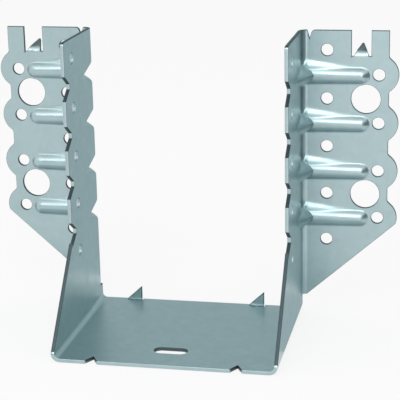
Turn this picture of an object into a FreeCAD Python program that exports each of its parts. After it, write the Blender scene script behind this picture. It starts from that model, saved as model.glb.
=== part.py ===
import FreeCAD, Part
import math
import os
import Sketcher

# A joist hanger: one strip of galvanised sheet, blanked, pressed and folded.
# The frame: the origin is the centre of the seat's underside, +Y goes to the
# header that the wings are nailed to, +Z is up and X runs across the joist.

SIZES = [
    ("sheet_thickness", 1.5, "thickness of the sheet"),
    ("bend_radius", 2.0, "inside radius of every fold"),
    ("joist_width", 87.0, "clear width between the two walls"),
    ("seat_depth", 72.0, "seat from its front edge to the header"),
    ("hanger_height", 121.0, "top of the walls and wings above the underside"),
    ("wall_depth", 41.0, "upper wall from the header to its front edge"),
    ("taper_foot", 3.5, "height where the wall's slanted edge starts"),
    ("taper_margin", 3.5, "end of the slanted edge below the middle of the lowest notch"),
    ("wing_foot", 8.0, "height where a wing starts at its fold"),
    ("wing_margin", 4.0, "wing's straight outer edge beyond the outer nail holes"),
    ("slope_drop", 2.8, "end of the wing's slanted edge below the lowest outer nail hole"),
    ("slope_margin", 7.2, "the same point beyond the outer nail holes"),
    ("lobe_radius", 8.0, "rounded lobe about each outer nail hole"),
    ("lobe_fillet", 2.6, "round between a lobe and the straight edge"),
    ("hole_pitch", 20.0, "height from one nail hole to the next"),
    ("nail_diameter", 5.0, "nail holes"),
    ("bolt_diameter", 12.0, "bolt holes"),
    ("inner_nail_offset", 11.7, "inner nail holes from the wall's inner face"),
    ("inner_nail_drop", 8.0, "highest inner nail hole below the top"),
    ("inner_nail_rows", 5, "inner nail holes in a wing"),
    ("outer_nail_offset", 32.7, "outer nail holes from the wall's inner face"),
    ("outer_nail_drop", 18.0, "highest outer nail hole and rib below the top"),
    ("outer_nail_rows", 4, "outer nail holes, lobes and ribs in a wing"),
    ("bolt_inset", 5.2, "bolt holes inside the line of outer nail holes"),
    ("bolt_drop", 28.0, "upper bolt hole below the top"),
    ("bolt_pitch", 40.0, "height from the lower bolt hole to the upper one"),
    ("wall_nail_setback", 30.5, "wall nail holes from the header"),
    ("top_notch_inset", 11.2, "top edge's notch: near side inside the outer nail holes"),
    ("top_notch_width", 8.0, "width of that notch"),
    ("top_notch_depth", 10.5, "depth of that notch"),
    ("relief_width", 2.0, "relief at the upper end of a wing's fold"),
    ("relief_depth", 3.5, "depth of that relief"),
    ("prong_width", 6.0, "prong in the top notch, at its root"),
    ("prong_rise", 4.2, "height of the prong's point above its root"),
    ("prong_lean", 4.5, "distance that the point leans towards the header"),
    ("prong_tip", 0.8, "width of the blunt point"),
    ("prong_skew", 0.7, "shift of the point towards the middle plane"),
    ("scallop_drop", 0.5, "notch in a wall's front edge below the rib of its row"),
    ("scallop_depth", 6.0, "depth of those notches"),
    ("scallop_mouth", 10.0, "height of a notch at the edge"),
    ("scallop_root", 2.0, "height of a notch at its bottom"),
    ("rib_stop", 4.2, "rib's rounded end short of the outer nail holes"),
    ("rib_rise", 2.1, "height of a rib above the wing's front face"),
    ("rib_crest", 3.0, "radius of a rib's rounded outside"),
    ("dart_foot", 17.0, "foot of a corner dart on the wall, from the header"),
    ("dart_reach", 6.8, "dart's valley at the header face, from the wall's inner face"),
    ("dart_mouth", 4.4, "half the height of a dart at the sharp corner"),
    ("dart_round", 0.5, "round at the bottom of a dart's valley"),
    ("slot_length", 13.6, "slot in the seat, across the joist"),
    ("slot_width", 6.0, "slot in the seat, along the joist"),
    ("slot_setback", 57.0, "middle of the slot from the header"),
    ("seat_notch_reach", 28.8, "notches in the seat's front edge from the middle plane"),
    ("seat_notch_width", 5.0, "width of a notch at the edge"),
    ("seat_notch_depth", 4.5, "depth of a notch"),
    ("tooth_width", 5.8, "tooth at the seat's rear edge"),
    ("tooth_rise", 5.9, "height of a tooth above the seat"),
    ("tooth_side", 28.4, "upright side of the right tooth from the middle plane"),
    ("tooth_spacing", 54.0, "distance from one tooth to the other"),
    ("corner_round", 1.4, "rounded corners of the wall and of the wing's tab"),
]

doc = FreeCAD.newDocument("joist_hanger")
sheet = doc.addObject("Spreadsheet::Sheet", "sizes")
for row, (alias, value, note) in enumerate(SIZES, start=1):
    sheet.set("A%d" % row, alias)
    sheet.set("B%d" % row, str(value))
    sheet.set("C%d" % row, note)
    sheet.setAlias("B%d" % row, alias)
doc.recompute()


class Term:
    """A length that knows its number and its formula in the sheet's aliases."""

    def __init__(self, text, value):
        self.text = text
        self.value = value

    def join(self, sign, other, value):
        return Term("(%s %s %s)" % (self.text, sign, other.text), value)

    def __add__(self, other):
        other = as_term(other)
        return self.join("+", other, self.value + other.value)

    def __sub__(self, other):
        other = as_term(other)
        return self.join("-", other, self.value - other.value)

    def __mul__(self, other):
        other = as_term(other)
        return self.join("*", other, self.value * other.value)

    def __truediv__(self, other):
        other = as_term(other)
        return self.join("/", other, self.value / other.value)

    def __neg__(self):
        return Term("(0 - %s)" % self.text, -self.value)


def as_term(length):
    if isinstance(length, Term):
        return length
    return Term(repr(float(length)), float(length))


def size(alias):
    return Term("sizes." + alias, float(sheet.get(alias)))


def square_root(term):
    return Term("sqrt(%s)" % term.text, math.sqrt(term.value))


# Places that several features share, worked out from the sheet.
thickness = size("sheet_thickness")
outer_radius = size("bend_radius") + thickness
header = size("seat_depth") / 2
wall_inside = size("joist_width") / 2
wall_outside = wall_inside + thickness
bend_centre = wall_outside + size("bend_radius")
top = size("hanger_height")
wing_front = header - thickness
inner_nails = wall_inside + size("inner_nail_offset")
outer_nails = wall_inside + size("outer_nail_offset")
wing_edge = outer_nails + size("wing_margin")
top_notch = outer_nails - size("top_notch_inset")
inner_nail_level = top - size("inner_nail_drop") - size("hole_pitch") * (size("inner_nail_rows") - 1)
rib_level = top - size("outer_nail_drop") - size("hole_pitch") * (size("outer_nail_rows") - 1)
scallop_level = rib_level - size("scallop_drop")

# A dart's valley runs straight from the wall to the header face. The corner
# between wall and header lies this far from it, and it is this long.
dart_length = square_root(
    size("dart_foot") * size("dart_foot") + size("dart_reach") * size("dart_reach"))
dart_corner = size("dart_foot") * size("dart_reach") / dart_length

body = doc.addObject("PartDesign::Body", "joist_hanger")
body.Label = "joist_hanger"


def origin_part(role):
    for feature in body.Origin.OriginFeatures:
        if feature.Role == role:
            return feature
    raise ValueError("no origin feature called " + role)


def new_sketch(name, plane, offset=None):
    """A sketch on an origin plane, moved along the plane's normal by offset."""
    sketch = body.newObject("Sketcher::SketchObject", name)
    sketch.AttachmentSupport = [(origin_part(plane), "")]
    sketch.MapMode = "FlatFace"
    if offset is not None:
        sketch.AttachmentOffset.Base.z = offset.value
        sketch.setExpression("AttachmentOffset.Base.z", offset.text)
    return sketch


def hold(sketch, kind, geometry, vertex, length):
    """Fix one coordinate of a point, measured from the sketch's origin."""
    length = as_term(length)
    if length.text == "0.0":
        axis = -2 if kind == "DistanceX" else -1
        sketch.addConstraint(Sketcher.Constraint("PointOnObject", geometry, vertex, axis))
        return
    number = sketch.addConstraint(
        Sketcher.Constraint(kind, -1, 1, geometry, vertex, length.value))
    sketch.setExpression("Constraints[%d]" % number, length.text)


def draw_outline(sketch, corners, arcs=None):
    """A closed outline through corners; arcs gives a centre and a turn for some sides.

    A turn of 1 runs anticlockwise from the corner to the next one, -1 clockwise."""
    arcs = arcs or {}
    points = [FreeCAD.Vector(as_term(x).value, as_term(y).value, 0) for x, y in corners]
    count = len(points)
    ends = []
    for i in range(count):
        first, second = points[i], points[(i + 1) % count]
        if i in arcs:
            centre_x, centre_y, turn = arcs[i]
            centre = FreeCAD.Vector(as_term(centre_x).value, as_term(centre_y).value, 0)
            begin, finish = (first, second) if turn > 0 else (second, first)
            start_angle = math.atan2(begin.y - centre.y, begin.x - centre.x)
            end_angle = math.atan2(finish.y - centre.y, finish.x - centre.x)
            if end_angle <= start_angle:
                end_angle += 2 * math.pi
            circle = Part.Circle(centre, FreeCAD.Vector(0, 0, 1), (begin - centre).Length)
            number = sketch.addGeometry(Part.ArcOfCircle(circle, start_angle, end_angle), False)
            ends.append((number, 1, 2) if turn > 0 else (number, 2, 1))
        else:
            number = sketch.addGeometry(Part.LineSegment(first, second), False)
            ends.append((number, 1, 2))
    for i in range(count):
        number, _, finish = ends[i]
        following, begin, _ = ends[(i + 1) % count]
        sketch.addConstraint(Sketcher.Constraint("Coincident", number, finish, following, begin))
    for i in range(count):
        number, begin, _ = ends[i]
        hold(sketch, "DistanceX", number, begin, corners[i][0])
        hold(sketch, "DistanceY", number, begin, corners[i][1])
    for i, (centre_x, centre_y, _) in arcs.items():
        chord = points[(i + 1) % count] - points[i]
        if abs(chord.y) > abs(chord.x):
            hold(sketch, "DistanceX", ends[i][0], 3, centre_x)
        else:
            hold(sketch, "DistanceY", ends[i][0], 3, centre_y)
    return sketch


def draw_circle(sketch, across, up, diameter):
    circle = Part.Circle(FreeCAD.Vector(across.value, up.value, 0),
                         FreeCAD.Vector(0, 0, 1), diameter.value / 2)
    number = sketch.addGeometry(circle, False)
    hold(sketch, "DistanceX", number, 3, across)
    hold(sketch, "DistanceY", number, 3, up)
    rule = sketch.addConstraint(Sketcher.Constraint("Diameter", number, diameter.value))
    sketch.setExpression("Constraints[%d]" % rule, diameter.text)
    return sketch


def pad(name, sketch, length):
    feature = body.newObject("PartDesign::Pad", name)
    feature.Profile = sketch
    feature.Length = length.value
    feature.setExpression("Length", length.text)
    return feature


def cut_through(name, sketch):
    feature = body.newObject("PartDesign::Pocket", name)
    feature.Profile = sketch
    feature.Type = "ThroughAll"
    feature.Midplane = True
    return feature


def cut_along(name, sketch, length):
    """A cut of a given length along the sketch's normal."""
    feature = body.newObject("PartDesign::Pocket", name)
    feature.Profile = sketch
    feature.Reversed = True
    feature.Length = length.value
    feature.setExpression("Length", length.text)
    return feature


def repeat(name, originals, axis, spacing, count):
    """Copies of features along an origin axis at an even spacing."""
    feature = body.newObject("PartDesign::LinearPattern", name)
    feature.Originals = originals
    feature.Direction = (origin_part(axis), [""])
    length = spacing * (count - 1)
    feature.Length = length.value
    feature.setExpression("Length", length.text)
    feature.Occurrences = int(count.value)
    feature.setExpression("Occurrences", count.text)
    body.Tip = feature
    return feature


def bent_strip(sketch, corner, foot, leg_x, leg_y, side):
    """An L of sheet about a fold: the sharp outer corner is (corner, foot).

    One leg ends at leg_x along the first axis and one at leg_y along the second;
    side is 1 where the first leg goes to greater values, -1 where it goes to less.
    Both folds of the hanger keep the second leg on the far side of foot."""
    reach = -1 if leg_y.value < as_term(foot).value else 1
    inner_x = as_term(corner) + thickness * side
    inner_y = as_term(foot) + thickness * reach
    centre_x = as_term(corner) + outer_radius * side
    centre_y = as_term(foot) + outer_radius * reach
    corners = [
        (leg_x, foot),
        (centre_x, foot),
        (corner, centre_y),
        (corner, leg_y),
        (inner_x, leg_y),
        (inner_x, centre_y),
        (centre_x, inner_y),
        (leg_x, inner_y),
    ]
    turn = -1 if side * reach > 0 else 1
    arcs = {1: (centre_x, centre_y, turn), 5: (centre_x, centre_y, -turn)}
    return draw_outline(sketch, corners, arcs)


def build_channel():
    """Half of the seat and one wall, as deep as the seat."""
    sketch = new_sketch("channel_section", "XZ_Plane", -header)
    bent_strip(sketch, wall_outside, 0, as_term(0), top, -1)
    pad("channel", sketch, size("seat_depth"))


def trim_wall():
    """The wall's front edge with its slant, and the room for the wing's fold."""
    front_edge = header - size("wall_depth")
    past_front = -header - 1
    past_top = top + 1
    fold_start = header - outer_radius
    front = draw_outline(new_sketch("wall_front_outline", "YZ_Plane"), [
        (past_front, size("taper_foot")),
        (-header, size("taper_foot")),
        (front_edge, scallop_level - size("taper_margin")),
        (front_edge, past_top),
        (past_front, past_top),
    ])
    cut_through("wall_front", front)
    rear = draw_outline(new_sketch("wall_rear_outline", "YZ_Plane"), [
        (fold_start, size("wing_foot")),
        (header + 1, size("wing_foot")),
        (header + 1, past_top),
        (fold_start, past_top),
    ])
    cut_through("wall_rear", rear)


def build_wing():
    """One wing with its fold, its lobes, its slanted foot and its top edge."""
    section = new_sketch("wing_section", "XY_Plane", size("wing_foot"))
    bent_strip(section, wall_inside, header, wing_edge, header - outer_radius - 1, 1)
    pad("wing", section, top - size("wing_foot"))

    lobe = new_sketch("lobe_outline", "XZ_Plane", -header)
    draw_circle(lobe, outer_nails, rib_level, size("lobe_radius") * 2)
    first = pad("lobe", lobe, thickness)
    repeat("lobes", [first], "Z_Axis", size("hole_pitch"), size("outer_nail_rows"))

    past_edge = outer_nails + size("lobe_radius") + 1
    slope_end = outer_nails + size("slope_margin")
    slope_level = rib_level - size("slope_drop")
    slope = (slope_level - size("wing_foot")) / (slope_end - bend_centre)
    far_level = size("wing_foot") + slope * (past_edge - bend_centre)
    foot = draw_outline(new_sketch("wing_foot_outline", "XZ_Plane"), [
        (bend_centre, size("wing_foot") - 1),
        (past_edge, size("wing_foot") - 1),
        (past_edge, far_level),
        (bend_centre, size("wing_foot")),
    ])
    cut_through("wing_slant", foot)

    notch_bottom = top - size("top_notch_depth")
    notch_far = top_notch + size("top_notch_width")
    notch = draw_outline(new_sketch("top_notch_outline", "XZ_Plane"), [
        (top_notch, notch_bottom),
        (notch_far, notch_bottom),
        (notch_far, top + 1),
        (top_notch, top + 1),
    ])
    cut_through("top_notch", notch)

    relief = draw_outline(new_sketch("relief_outline", "XZ_Plane"), [
        (bend_centre, top + 1),
        (bend_centre + size("relief_width") / 2, top - size("relief_depth")),
        (bend_centre + size("relief_width"), top + 1),
    ])
    cut_through("fold_relief", relief)


def edges_along(shape, direction, wanted):
    """Names of straight edges along direction whose middle passes the test wanted."""
    names = []
    for number, edge in enumerate(shape.Edges, start=1):
        if len(edge.Vertexes) != 2:
            continue
        run = edge.Vertexes[1].Point - edge.Vertexes[0].Point
        if abs(run.Length - edge.Length) > 1e-6:
            continue
        if abs(abs(run.dot(direction)) - edge.Length) > 1e-6:
            continue
        if wanted(edge.CenterOfMass):
            names.append("Edge%d" % number)
    return names


def round_edges(name, base, names, radius):
    if not names:
        raise ValueError("no edge found for " + name)
    feature = body.newObject("PartDesign::Fillet", name)
    feature.Base = (base, names)
    feature.Radius = radius.value
    feature.setExpression("Radius", radius.text)
    return feature


def soften_wing_outline():
    """The rounds between the lobes and the straight outer edge of the wing."""
    doc.recompute()
    base = body.Tip

    def on_outer_edge(middle):
        return abs(middle.x - wing_edge.value) < 0.01 and rib_level.value < middle.z < top.value - 1

    names = edges_along(base.Shape, FreeCAD.Vector(0, 1, 0), on_outer_edge)
    round_edges("lobe_rounds", base, names, size("lobe_fillet"))


def dart_sketch(name):
    """A sketch across the darts: x points out of the corner, 0 is the valley's bottom."""
    sketch = new_sketch(name, "XZ_Plane")
    slant = size("dart_reach") / size("dart_foot")
    forward = size("dart_foot") - header
    sketch.AttachmentOffset = FreeCAD.Placement(
        FreeCAD.Vector(wall_inside.value, 0, forward.value),
        FreeCAD.Rotation(FreeCAD.Vector(0, -1, 0), math.degrees(math.atan(slant.value))))
    sketch.setExpression("AttachmentOffset.Base.x", wall_inside.text)
    sketch.setExpression("AttachmentOffset.Base.z", forward.text)
    sketch.setExpression("AttachmentOffset.Rotation.Angle", "atan(%s)" % slant.text)
    return sketch


def draw_dart(name, offset, depth, round_radius):
    """A dart's section: a V with a rounded point that opens into the corner.

    offset is how far it lies outside the valley's own surface, and depth how far
    its open side lies from the valley's bottom."""
    mouth = size("dart_mouth")
    flank = square_root(dart_corner * dart_corner + mouth * mouth)
    tip = offset * flank / mouth
    half = (tip + depth) * mouth / dart_corner
    centre = tip - round_radius * flank / mouth
    touch_x = centre + round_radius * mouth / flank
    touch_z = round_radius * dart_corner / flank
    return draw_outline(dart_sketch(name), [
        (-depth, rib_level - half),
        (touch_x, rib_level - touch_z),
        (touch_x, rib_level + touch_z),
        (-depth, rib_level + half),
    ], {1: (centre, rib_level, 1)})


def trim_darts():
    """Takes away what a dart's body leaves inside the wall and behind the header face."""
    near = wall_inside - size("dart_reach")
    far = wall_inside + size("dart_reach") + 1
    front = header - size("dart_foot") - 1
    rear = header + size("dart_reach")
    section = draw_outline(new_sketch("dart_trim_section", "XY_Plane", size("wing_foot")), [
        (near, front),
        (wall_inside, front),
        (wall_inside, header - outer_radius),
        (bend_centre, header),
        (far, header),
        (far, rear),
        (near, rear),
    ], {2: (bend_centre, header - outer_radius, -1)})
    cut_along("dart_trim", section, top - size("wing_foot") + 1)


def quarter_ball(kind, name, end, centre, radius):
    """The rounded end of a rib: the quarter of a ball that faces outwards and forwards."""
    section = draw_outline(new_sketch(name + "_section", "XZ_Plane", -centre), [
        (end, rib_level - radius),
        (end, rib_level + radius),
    ], {0: (end, rib_level, 1)})
    feature = body.newObject("PartDesign::" + kind, name)
    feature.Profile = section
    feature.ReferenceAxis = (section, ["Edge2"])
    feature.Angle = 90
    return feature


def build_ribs():
    """The ribs pressed forward out of the wing, each with a dart across the fold."""
    crest = size("rib_crest")
    centre = header - thickness - size("rib_rise") + crest
    inner = crest - thickness
    end = outer_nails - size("rib_stop") - crest
    start = wall_outside + size("bend_radius") / 2

    mid_sheet = header - thickness / 2
    flank = square_root(crest * crest - (mid_sheet - centre) * (mid_sheet - centre))
    profile = draw_outline(new_sketch("rib_section", "YZ_Plane", start), [
        (mid_sheet, rib_level - flank),
        (mid_sheet, rib_level + flank),
    ], {1: (centre, rib_level, 1)})
    bead = pad("rib", profile, end - start)

    cap = quarter_ball("Revolution", "rib_round_end", end, centre, crest)
    dart = pad("dart", draw_dart("dart_section", thickness, dart_corner,
                                 size("dart_round") + thickness), dart_length)
    dart.Reversed = True
    repeat("ribs", [bead, cap, dart], "Z_Axis", size("hole_pitch"), size("outer_nail_rows"))
    trim_darts()

    rear = header + 1
    groove_sketch = draw_outline(new_sketch("groove_section", "YZ_Plane", bend_centre), [
        (centre, rib_level + inner),
        (centre, rib_level - inner),
        (rear, rib_level - inner),
        (rear, rib_level + inner),
    ], {0: (centre, rib_level, 1)})
    groove = cut_along("groove", groove_sketch, end - bend_centre)

    hollow = quarter_ball("Groove", "groove_round_end", end, centre, inner)
    mouth = draw_circle(new_sketch("groove_mouth_outline", "XZ_Plane", -rear),
                        end, rib_level, inner * 2)
    groove_mouth = cut_along("groove_mouth", mouth, rear - centre)

    valley = cut_through("dart_valley", draw_dart(
        "valley_section", as_term(0), dart_corner + 1, size("dart_round")))
    repeat("grooves", [groove, hollow, groove_mouth, valley], "Z_Axis",
           size("hole_pitch"), size("outer_nail_rows"))


def punch_holes():
    """Nail and bolt holes of the wing, nail holes and edge notches of the wall."""
    nail = size("nail_diameter")
    pitch = size("hole_pitch")
    inner = draw_circle(new_sketch("inner_nail", "XZ_Plane"),
                        inner_nails, inner_nail_level, nail)
    repeat("inner_nails", [cut_through("inner_nail_hole", inner)], "Z_Axis",
           pitch, size("inner_nail_rows"))
    outer = draw_circle(new_sketch("outer_nail", "XZ_Plane"),
                        outer_nails, rib_level, nail)
    repeat("outer_nails", [cut_through("outer_nail_hole", outer)], "Z_Axis",
           pitch, size("outer_nail_rows"))
    bolt = draw_circle(new_sketch("bolt", "XZ_Plane"),
                       outer_nails - size("bolt_inset"),
                       top - size("bolt_drop") - size("bolt_pitch"), size("bolt_diameter"))
    repeat("bolts", [cut_through("bolt_hole", bolt)], "Z_Axis", size("bolt_pitch"), as_term(2))
    wall = draw_circle(new_sketch("wall_nail", "YZ_Plane"),
                       header - size("wall_nail_setback"), inner_nail_level, nail)
    repeat("wall_nails", [cut_through("wall_nail_hole", wall)], "Z_Axis",
           pitch, size("inner_nail_rows"))

    edge = header - size("wall_depth")
    mouth = size("scallop_mouth") / 2
    root = size("scallop_root") / 2
    scallop = draw_outline(new_sketch("scallop_outline", "YZ_Plane"), [
        (edge - 1, scallop_level - mouth),
        (edge, scallop_level - mouth),
        (edge + size("scallop_depth"), scallop_level - root),
        (edge + size("scallop_depth"), scallop_level + root),
        (edge, scallop_level + mouth),
        (edge - 1, scallop_level + mouth),
    ])
    repeat("scallops", [cut_through("scallop", scallop)], "Z_Axis",
           pitch, size("outer_nail_rows"))


def build_prong():
    """The pointed prong that leans back from the notch in the wing's top edge."""
    root = top - size("top_notch_depth")
    point = root + size("prong_rise")
    point_rear = header + size("prong_lean")
    middle = top_notch + size("top_notch_width") / 2
    half = size("prong_width") / 2
    section = draw_outline(new_sketch("prong_section", "YZ_Plane", middle - half), [
        (wing_front, root),
        (header, root),
        (point_rear, point),
        (point_rear - thickness, point),
    ])
    pad("prong", section, size("prong_width"))

    point_middle = middle - size("prong_skew")
    for name, side in (("prong_inner_side", -1), ("prong_outer_side", 1)):
        edge = middle + half * side
        corner = point_middle + size("prong_tip") / 2 * side
        waste = draw_outline(new_sketch(name + "_outline", "XZ_Plane"), [
            (edge, root),
            (edge, point),
            (corner, point),
        ])
        cut_through(name, waste)


def round_corners():
    """The wall's upper front corner and the corners of the wing's inner tab."""
    doc.recompute()
    base = body.Tip
    front_edge = (header - size("wall_depth")).value
    tab_start = (bend_centre + size("relief_width")).value

    def at_wall_corner(middle):
        return abs(middle.y - front_edge) < 0.01 and abs(middle.z - top.value) < 0.01

    def at_tab_corner(middle):
        return middle.z > top.value - 1 and abs(middle.x - tab_start) < size("relief_width").value / 2

    names = edges_along(base.Shape, FreeCAD.Vector(1, 0, 0), at_wall_corner)
    names += edges_along(base.Shape, FreeCAD.Vector(0, 1, 0), at_tab_corner)
    round_edges("corner_rounds", base, names, size("corner_round"))


def notch_seat():
    """One of the two notches in the seat's front edge."""
    reach = size("seat_notch_reach")
    half = size("seat_notch_width") / 2
    notch = draw_outline(new_sketch("seat_notch_outline", "XY_Plane"), [
        (reach - half, -header - 1),
        (reach + half, -header - 1),
        (reach + half, -header),
        (reach, -header + size("seat_notch_depth")),
        (reach - half, -header),
    ])
    cut_through("seat_notch", notch)


def mirror_half():
    feature = body.newObject("PartDesign::Mirrored", "both_halves")
    feature.TransformMode = "Whole shape"
    feature.MirrorPlane = (origin_part("YZ_Plane"), [""])
    body.Tip = feature


def finish_seat():
    """The slot in the seat and the two teeth turned up at its rear edge."""
    reach = size("slot_length") / 2 - size("slot_width") / 2
    radius = size("slot_width") / 2
    level = header - size("slot_setback")
    slot = draw_outline(new_sketch("slot_outline", "XY_Plane"), [
        (-reach, level - radius),
        (reach, level - radius),
        (reach, level + radius),
        (-reach, level + radius),
    ], {1: (reach, level, 1), 3: (-reach, level, 1)})
    cut_through("slot", slot)

    side = size("tooth_side")
    crown = thickness + size("tooth_rise")
    tooth = draw_outline(new_sketch("tooth_outline", "XZ_Plane", -header), [
        (side - size("tooth_width"), thickness / 2),
        (side, thickness / 2),
        (side, crown),
        (side - size("tooth_width"), thickness),
    ])
    first = pad("tooth", tooth, thickness)
    pattern = repeat("teeth", [first], "X_Axis", size("tooth_spacing"), as_term(2))
    pattern.Reversed = True


def build():
    build_channel()
    trim_wall()
    build_wing()
    soften_wing_outline()
    build_ribs()
    punch_holes()
    round_corners()
    build_prong()
    notch_seat()
    doc.recompute()
    mirror_half()
    doc.recompute()
    finish_seat()
    doc.recompute()


def check_and_write():
    for thing in doc.Objects:
        for state in ("Invalid", "Error"):
            if state in thing.State:
                raise RuntimeError("%s is %s" % (thing.Name, state))
    shape = body.Shape
    if shape.isNull() or not shape.isValid() or len(shape.Solids) != 1:
        raise RuntimeError("the hanger is not one valid solid")
    os.makedirs("parts", exist_ok=True)
    shape.exportStep(os.path.join("parts", body.Label + ".step"))
    box = shape.BoundBox
    print("volume %.1f mm3" % shape.Volume)
    print("box %.2f to %.2f, %.2f to %.2f, %.2f to %.2f"
          % (box.XMin, box.XMax, box.YMin, box.YMax, box.ZMin, box.ZMax))


build()
check_and_write()
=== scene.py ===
import math
import bmesh
import bpy
from bpy.props import FloatProperty, FloatVectorProperty, IntProperty, PointerProperty
from mathutils import Matrix, Vector
from mathutils.geometry import delaunay_2d_cdt
from mathutils.kdtree import KDTree


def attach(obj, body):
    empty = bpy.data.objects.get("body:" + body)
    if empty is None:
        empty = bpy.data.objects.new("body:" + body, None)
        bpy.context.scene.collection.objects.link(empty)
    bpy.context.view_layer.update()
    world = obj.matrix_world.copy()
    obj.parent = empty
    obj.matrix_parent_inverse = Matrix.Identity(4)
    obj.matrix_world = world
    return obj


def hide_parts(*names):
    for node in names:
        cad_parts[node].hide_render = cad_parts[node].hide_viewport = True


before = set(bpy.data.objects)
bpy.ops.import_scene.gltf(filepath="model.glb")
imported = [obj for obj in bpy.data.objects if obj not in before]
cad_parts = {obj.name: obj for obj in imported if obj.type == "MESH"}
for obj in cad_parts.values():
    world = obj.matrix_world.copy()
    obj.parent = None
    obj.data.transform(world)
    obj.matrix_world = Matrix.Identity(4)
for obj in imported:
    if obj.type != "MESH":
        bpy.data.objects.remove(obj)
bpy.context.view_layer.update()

bl_info = {
    "name": "Joist Hanger",
    "version": (1, 0, 0),
    "blender": (4, 5, 0),
    "location": "View3D > Sidebar > Joist Hanger",
    "description": "A folded and pressed galvanised joist hanger with its studio",
    "category": "Add Mesh",
}

MM = 0.001
NODE = "joist_hanger"
QUARTER = math.pi / 2
HAIR = 0.01 * MM  # how far a limit stands off an edge that has to fall inside it
FLOOR_DROP = 0.1 * MM  # keeps the floor from coinciding with the seat's underside
FLOOR_GLOW = 0.82  # share of the seen floor's brightness that is its own
STREAKS = 0.35  # scale of the handling streaks against that of the grains
COAT, CUT_AND_SHADE, TEETH_PAINTED_SHADE, PAINTED_LIGHT_EDGE = range(4)  # the finishes, in the order of the material slots


def length(label, about, millimetres):
    return FloatProperty(name=label, description=about, default=millimetres * MM,
                         unit="LENGTH", subtype="DISTANCE", min=0.0)


def offset(label, about, millimetres):
    """A length that may be negative."""
    return FloatProperty(name=label, description=about, default=millimetres * MM,
                         unit="LENGTH", subtype="DISTANCE")


def ratio(label, about, value):
    return FloatProperty(name=label, description=about, default=value, subtype="FACTOR",
                         min=0.0, max=1.0)


def tint(label, about, value):
    return FloatVectorProperty(name=label, description=about, default=value, size=3,
                               subtype="COLOR", min=0.0, max=1.0)


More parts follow.
